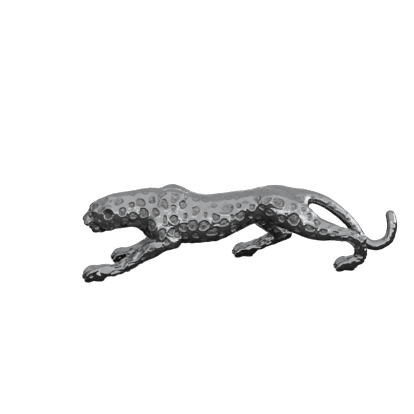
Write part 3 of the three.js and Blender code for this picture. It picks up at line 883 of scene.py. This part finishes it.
def chromePlate():
    # chrome plate over polished cast zinc: mirror-bright on the high skin, and matt and slightly tarnished
    # where the buff didn't reach, in the pitted spots and the folds, with painted shade darkening the folds,
    # the ear bowls and the walls of the spots
    made = newMaterial("chromePlateOnCastZinc")
    tree = made.node_tree
    mask = addNode(tree, "ShaderNodeAttribute", {"attribute_name": "finishAndPaintedShade"})
    parts = addNode(tree, "ShaderNodeSeparateColor", links={"Color": mask.outputs["Color"]})
    where = addNode(tree, "ShaderNodeTexCoord")
    # buffing haze, cloudy over about 8 mm
    haze = addNode(tree, "ShaderNodeTexNoise", {"Scale": perSize(8.0), "Detail": 4.0, "Roughness": 0.6},
                   {"Vector": where.outputs["Object"]})
    # sand-cast grain 0.3 mm across, drawn at 0.8 mm so that it shows, and grit of 1.1 mm over it
    grain = addNode(tree, "ShaderNodeTexVoronoi", {"Scale": perSize(0.76923), "Randomness": 1.0},
                    {"Vector": where.outputs["Object"]})
    grit = addNode(tree, "ShaderNodeTexNoise", {"Scale": perSize(1.1111), "Detail": 3.0, "Roughness": 0.65},
                   {"Vector": where.outputs["Object"]})
    pits = addNode(tree, "ShaderNodeMath", {"operation": "MULTIPLY"},
                   {0: grain.outputs["Distance"], 1: grit.outputs["Fac"]})
    # painted shade with tarnish: the hollows mask drives the darkening and the matt roughness
    tarnishAndShade = addNode(tree, "ShaderNodeMapRange", {"From Min": 0.45, "From Max": 1.0, "To Min": 0.0,
                                                "To Max": 0.85},
                   {"Value": parts.outputs["Green"]})
    skin = addNode(tree, "ShaderNodeMix", {"data_type": "RGBA", "A": linearOf("dcdddf"),
                                           "B": linearOf("b9babc")},
                   {"Factor": haze.outputs["Fac"]})
    # the floor of a spot is mottled, dull lead grey to bright, over about 1.2 mm
    mottle = addNode(tree, "ShaderNodeTexNoise",
                     {"Scale": perSize(1.2195), "Detail": 3.0, "Roughness": 0.7},
                     {"Vector": where.outputs["Object"]})
    spread = addNode(tree, "ShaderNodeMapRange", {"From Min": 0.36, "From Max": 0.62},
                     {"Value": mottle.outputs["Fac"]})
    lead = addNode(tree, "ShaderNodeMix", {"data_type": "RGBA", "A": linearOf("7c7c7d"),
                                           "B": linearOf("d2d2d2")},
                   {"Factor": spread.outputs["Result"]})
    floor = addNode(tree, "ShaderNodeMix", {"data_type": "RGBA"},
                    {"Factor": parts.outputs["Red"], "A": skin.outputs["Result"],
                     "B": lead.outputs["Result"]})
    # painted shade with tarnish along the walls of the spots: half-way towards 565656
    outline = addNode(tree, "ShaderNodeMath", {"operation": "MULTIPLY", 1: 0.5},
                      {0: parts.outputs["Blue"]})
    lined = addNode(tree, "ShaderNodeMix", {"data_type": "RGBA", "B": linearOf("565656")},
                    {"Factor": outline.outputs["Value"], "A": floor.outputs["Result"]})
    # painted shade with tarnish: hollows and ear bowls darkened towards 4b4a4a
    dark = addNode(tree, "ShaderNodeMix", {"data_type": "RGBA", "B": linearOf("4b4a4a")},
                   {"Factor": tarnishAndShade.outputs["Result"], "A": lined.outputs["Result"]})
    rough = addNode(tree, "ShaderNodeMapRange", {"To Min": 0.09, "To Max": 0.20},
                    {"Value": haze.outputs["Fac"]})
    roughFloor = addNode(tree, "ShaderNodeMix", {"B": 0.34},
                         {"Factor": parts.outputs["Red"], "A": rough.outputs["Result"]})
    roughAll = addNode(tree, "ShaderNodeMix", {"B": 0.5},
                       {"Factor": tarnishAndShade.outputs["Result"], "A": roughFloor.outputs["Result"]})
    reach = addNode(tree, "ShaderNodeMath", {"operation": "MULTIPLY_ADD", 1: 0.95, 2: 0.03},
                    {0: parts.outputs["Red"]})
    bump = addNode(tree, "ShaderNodeBump", {"Distance": 0.0005},
                   {"Height": pits.outputs["Value"], "Strength": reach.outputs["Value"]})
    shader = addNode(tree, "ShaderNodeBsdfPrincipled", {"Metallic": 1.0},
                     {"Base Color": dark.outputs["Result"], "Roughness": roughAll.outputs["Result"],
                      "Normal": bump.outputs["Normal"]})
    addNode(tree, "ShaderNodeOutputMaterial", links={"Surface": shader.outputs["BSDF"]})
    return made


casting.data.materials.append(chromePlate())
zinc, rubber = zincPlate(), blackRubber()
for piece in metalPieces:
    piece.data.materials.append(zinc)
for piece in rubberPieces:
    piece.data.materials.append(rubber)
print("materials made")


# the table: how pale it is by itself, and how dark its painted reflection in the metal is, darkest as
# painted shade under the figure, in metres
table = {"half": 6.0, "lift": 0.85, "darkest": (0.03, 0.003), "lightest": (0.13, 0.062),
         "darkMiddle": 0.025, "stretch": 0.35}


def paleFloor():
    # seen directly it is pale; mirrored in the metal it is a painted reflection of a dark table, like the
    # table under a light tent, with painted shade darkest under the figure; from underneath it isn't there,
    # so the fixings can be looked at
    made = newMaterial("paleTable")
    tree = made.node_tree
    path = addNode(tree, "ShaderNodeLightPath")
    side = addNode(tree, "ShaderNodeNewGeometry")
    matt = addNode(tree, "ShaderNodeBsdfDiffuse", {"Color": linearOf("f4f4f4")})
    lift = addNode(tree, "ShaderNodeEmission", {"Color": linearOf("ffffff"), "Strength": table["lift"]})
    pale = addNode(tree, "ShaderNodeAddShader",
                   links={0: matt.outputs["BSDF"], 1: lift.outputs["Emission"]})
    flat = addNode(tree, "ShaderNodeVectorMath",
                   {"operation": "MULTIPLY_ADD", 1: (table["stretch"], 1, 0),
                    2: (0, -table["darkMiddle"], 0)},
                   {0: side.outputs["Position"]})
    spread = addNode(tree, "ShaderNodeVectorMath", {"operation": "LENGTH"},
                     {0: flat.outputs["Vector"]})
    # painted reflection and painted shade: the mirrored table is darkest just under the figure and lighter
    # further out
    fade = addNode(tree, "ShaderNodeMapRange",
                   {"From Min": table["darkest"][0], "From Max": table["lightest"][0],
                    "To Min": table["darkest"][1], "To Max": table["lightest"][1]},
                   {"Value": spread.outputs["Value"]})
    dark = addNode(tree, "ShaderNodeEmission", {"Color": (1, 1, 1, 1)},
                   {"Strength": fade.outputs["Result"]})
    # painted reflection: glossy rays see the dark emission, all other rays see the pale table
    mirrored = addNode(tree, "ShaderNodeMixShader",
                       links={0: path.outputs["Is Glossy Ray"], 1: pale.outputs["Shader"],
                              2: dark.outputs["Emission"]})
    nothing = addNode(tree, "ShaderNodeBsdfTransparent")
    whole = addNode(tree, "ShaderNodeMixShader",
                    links={0: side.outputs["Backfacing"], 1: mirrored.outputs["Shader"],
                           2: nothing.outputs["BSDF"]})
    addNode(tree, "ShaderNodeOutputMaterial", links={"Surface": whole.outputs["Shader"]})
    return made


reach = table["half"] / mm
corners = [(-reach, -reach, 0), (reach, -reach, 0), (reach, reach, 0), (-reach, reach, 0)]
floor = pieceFrom("floor", corners, [(0, 1, 2, 3)], False)
floor.data.materials.append(paleFloor())

# the light tent: strengths, and where each starts and is full, as parts of a unit direction
tent = {
    "behind": 0.39, "front": 0.62, "seam": 0.07,                     # the cloth on either side
    "rim": 1.5, "rimFrom": 0.15, "rimFull": 0.05,                    # bright just above the table
    "card": 0.38, "cardFrom": -0.42, "cardFull": -0.78,              # grey card beyond the nose
    "window": 0.7, "windowFrom": 0.74, "windowFull": 0.93,           # bright window beyond the tail
}
world = bpy.data.worlds.new("lightTent")
bpy.context.scene.world = world
world.use_nodes = True
sky = world.node_tree
sky.nodes.clear()
towards = addNode(sky, "ShaderNodeTexCoord")
split = addNode(sky, "ShaderNodeSeparateXYZ", links={"Vector": towards.outputs["Generated"]})
front = addNode(sky, "ShaderNodeMapRange",
                {"From Min": tent["seam"], "From Max": -tent["seam"], "interpolation_type": "SMOOTHSTEP"},
                {"Value": split.outputs["Y"]})
panels = addNode(sky, "ShaderNodeMapRange", {"To Min": tent["behind"], "To Max": tent["front"]},
                 {"Value": front.outputs["Result"]})
rim = addNode(sky, "ShaderNodeMapRange",
              {"From Min": tent["rimFrom"], "From Max": tent["rimFull"], "interpolation_type": "SMOOTHSTEP"},
              {"Value": split.outputs["Z"]})
edge = addNode(sky, "ShaderNodeMix", {"B": tent["rim"]},
               {"Factor": rim.outputs["Result"], "A": panels.outputs["Result"]})
card = addNode(sky, "ShaderNodeMapRange",
               {"From Min": tent["cardFrom"], "From Max": tent["cardFull"], "To Min": 1.0,
                "To Max": tent["card"], "interpolation_type": "SMOOTHSTEP"},
               {"Value": split.outputs["X"]})
shaded = addNode(sky, "ShaderNodeMath", {"operation": "MULTIPLY"},
                 {0: edge.outputs["Result"], 1: card.outputs["Result"]})
window = addNode(sky, "ShaderNodeMapRange",
                 {"From Min": tent["windowFrom"], "From Max": tent["windowFull"],
                  "To Max": tent["window"], "interpolation_type": "SMOOTHSTEP"},
                 {"Value": split.outputs["X"]})
whole = addNode(sky, "ShaderNodeMath", {"operation": "ADD"},
                {0: shaded.outputs["Value"], 1: window.outputs["Result"]})
through = addNode(sky, "ShaderNodeLightPath")
cloth = addNode(sky, "ShaderNodeBackground", links={"Color": whole.outputs["Value"]})
white = addNode(sky, "ShaderNodeBackground", {"Color": (1, 1, 1, 1)})
shown = addNode(sky, "ShaderNodeMixShader", links={0: through.outputs["Is Camera Ray"],
                                                   1: cloth.outputs["Background"],
                                                   2: white.outputs["Background"]})
addNode(sky, "ShaderNodeOutputWorld", links={"Surface": shown.outputs["Shader"]})

shot = {"azimuth": -5.0, "elevation": 25.0, "distance": 2.6, "width": 0.2691,
        "aim": (-0.0088, 0.0, 0.0424)}
turn, tip = math.radians(shot["azimuth"]), math.radians(shot["elevation"])
forward = Vector((-math.sin(turn) * math.cos(tip), math.cos(turn) * math.cos(tip), -math.sin(tip)))
camera = bpy.data.objects.new("camera", bpy.data.cameras.new("camera"))
bpy.context.scene.collection.objects.link(camera)
camera.location = Vector(shot["aim"]) - forward * shot["distance"]
camera.rotation_euler = forward.to_track_quat("-Z", "Y").to_euler()
camera.data.lens = camera.data.sensor_width * shot["distance"] / shot["width"]
camera.data.clip_end = 50
bpy.context.scene.camera = camera
bpy.context.scene.view_settings.view_transform = "Standard"
print("stage set")
